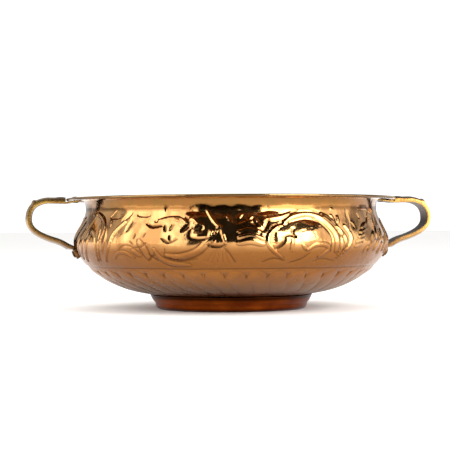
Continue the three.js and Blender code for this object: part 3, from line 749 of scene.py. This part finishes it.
# Cast brass, filed and given a soft polish: bright on the thumb plate, browner down the arm, where the
# brown is partly tarnish and partly painted shade.
handle_brass, tree, shader = start_material("filed_cast_brass")
coords = add_node(tree, "ShaderNodeTexCoord")
cloud = add_node(tree, "ShaderNodeTexNoise", None, {
    "Vector": coords.outputs["Object"], "Scale": 60.0, "Detail": 4.0})
tint = add_node(tree, "ShaderNodeMapRange", None, {
    "Value": cloud.outputs["Fac"], "From Min": 0.35, "From Max": 0.65})
tone = add_node(tree, "ShaderNodeMix", {"data_type": "RGBA"}, {
    0: tint.outputs["Result"], 6: to_linear("#b8914e"), 7: to_linear("#8c6636")})
axes = add_node(tree, "ShaderNodeSeparateXYZ", None, {"Vector": coords.outputs["Object"]})
# Darker lower on the handle: partly tarnish, partly painted shade.
handle_polish_and_shade = add_node(tree, "ShaderNodeMapRange", {"interpolation_type": "SMOOTHSTEP"}, {
    "Value": axes.outputs["Z"], "From Min": 0.050, "From Max": 0.094})
tarnished_and_shaded = add_node(tree, "ShaderNodeMix", {"data_type": "RGBA"}, {
    0: handle_polish_and_shade.outputs["Result"], 6: to_linear("#6e4e30"), 7: tone.outputs[2]})
tree.links.new(tarnished_and_shaded.outputs[2], shader.inputs["Base Color"])
shader.inputs["Metallic"].default_value = 1.0
shader.inputs["Roughness"].default_value = 0.27
grain = add_node(tree, "ShaderNodeTexNoise", None, {
    "Vector": coords.outputs["Object"], "Scale": 500.0, "Detail": 3.0})
grain_bump = add_node(tree, "ShaderNodeBump", None, {
    "Height": grain.outputs["Fac"], "Strength": 0.2, "Distance": 0.0004})
tree.links.new(grain_bump.outputs["Normal"], shader.inputs["Normal"])

# The inside of the loop is never reached by the buff and stays dull; its dark colour is partly
# unpolished brass and partly painted shade where it faces the bowl.
handle_inside, tree, shader = start_material("unpolished_and_shaded_inner_brass")
coords = add_node(tree, "ShaderNodeTexCoord")
cloud = add_node(tree, "ShaderNodeTexNoise", None, {
    "Vector": coords.outputs["Object"], "Scale": 70.0, "Detail": 4.0})
tone = add_node(tree, "ShaderNodeMix", {"data_type": "RGBA"}, {
    0: cloud.outputs["Fac"], 6: to_linear("#4c2c1a"), 7: to_linear("#2a1812")})
tree.links.new(tone.outputs[2], shader.inputs["Base Color"])
shader.inputs["Metallic"].default_value = 1.0
shader.inputs["Roughness"].default_value = 0.45

for side, half_turns in (("right", 0), ("left", 1)):
    handle = make_handle(side + "_strap_handle")
    handle.data.transform(Matrix.Rotation(math.pi * half_turns, 4, "Z"))
    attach(handle, "root")
    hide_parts("handle_" + side)

# Rivets: eight round-headed brass rivets, two through the flange and two through the belly
# at each handle. Each shank passes through a drilled hole and is hammered over inside.
# The heads are left as hammered; their dark brown is partly age and partly painted shade.
rivet_brass, tree, shader = start_material("hammered_rivet_brass")
shader.inputs["Base Color"].default_value = to_linear("#3c2612")
shader.inputs["Metallic"].default_value = 1.0
shader.inputs["Roughness"].default_value = 0.32
RIVET_HEAD, RIVET_RISE, RIVET_SHANK, RIVET_SPACING = 3.5, 1.4, 1.7, 14.0
RIM_RIVET_PLACE = RIM_RADIUS - HEM_WIDTH - RIVET_HEAD
RIVET_DROP = 0.6
BELLY_RIVET_HEIGHT = PAD_HEIGHT - RIVET_DROP


def make_rivet(name, head_seat, tail_seat):
    dome = [(RIVET_HEAD * math.cos(a), head_seat + RIVET_RISE * math.sin(a))
            for a in np.radians([0, 18, 36, 54, 72, 90])]
    tail = [(0.0, -tail_seat - 0.9), (2.0, -tail_seat - 0.8), (3.0, -tail_seat - 0.3),
            (3.0, -tail_seat), (RIVET_SHANK, -tail_seat), (RIVET_SHANK, head_seat - 0.1)]
    return turn_outline(name, tail + [(RIVET_HEAD, head_seat - 0.1)] + dome, 32)


slope = (wall_radius(BELLY_RIVET_HEIGHT + 1) - wall_radius(BELLY_RIVET_HEIGHT - 1)) / 2
for side, x_side in (("left", -1), ("right", 1)):
    for edge_name, y_side in (("front", -1), ("back", 1)):
        y = y_side * RIVET_SPACING / 2
        belly_turn = math.atan2(y, x_side * wall_radius(BELLY_RIVET_HEIGHT))
        outward_way = Vector((math.cos(belly_turn), math.sin(belly_turn), -slope)).normalized()
        belly_point = Vector((math.cos(belly_turn), math.sin(belly_turn), 0))
        belly_point = belly_point * wall_radius(BELLY_RIVET_HEIGHT)
        belly_point.z = BELLY_RIVET_HEIGHT
        for where, point, way, head_seat, tail_seat in (
            ("rim", Vector((x_side * RIM_RIVET_PLACE, y, underside)), Vector((0, 0, 1)), 1.35, 2.1),
            ("belly", belly_point, outward_way, PAD_THICKNESS + 0.7, SHEET + 0.3),
        ):
            rivet = make_rivet(f"{where}_rivet_{side}_{edge_name}_head", head_seat, tail_seat)
            turn_to_way = Vector((0, 0, 1)).rotation_difference(way).to_matrix().to_4x4()
            rivet.data.transform(Matrix.Translation(point * MM) @ turn_to_way)
            rivet.data.materials.append(rivet_brass)
            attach(rivet, "root")
            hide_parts(f"{where}_rivet_{side}_{edge_name}")
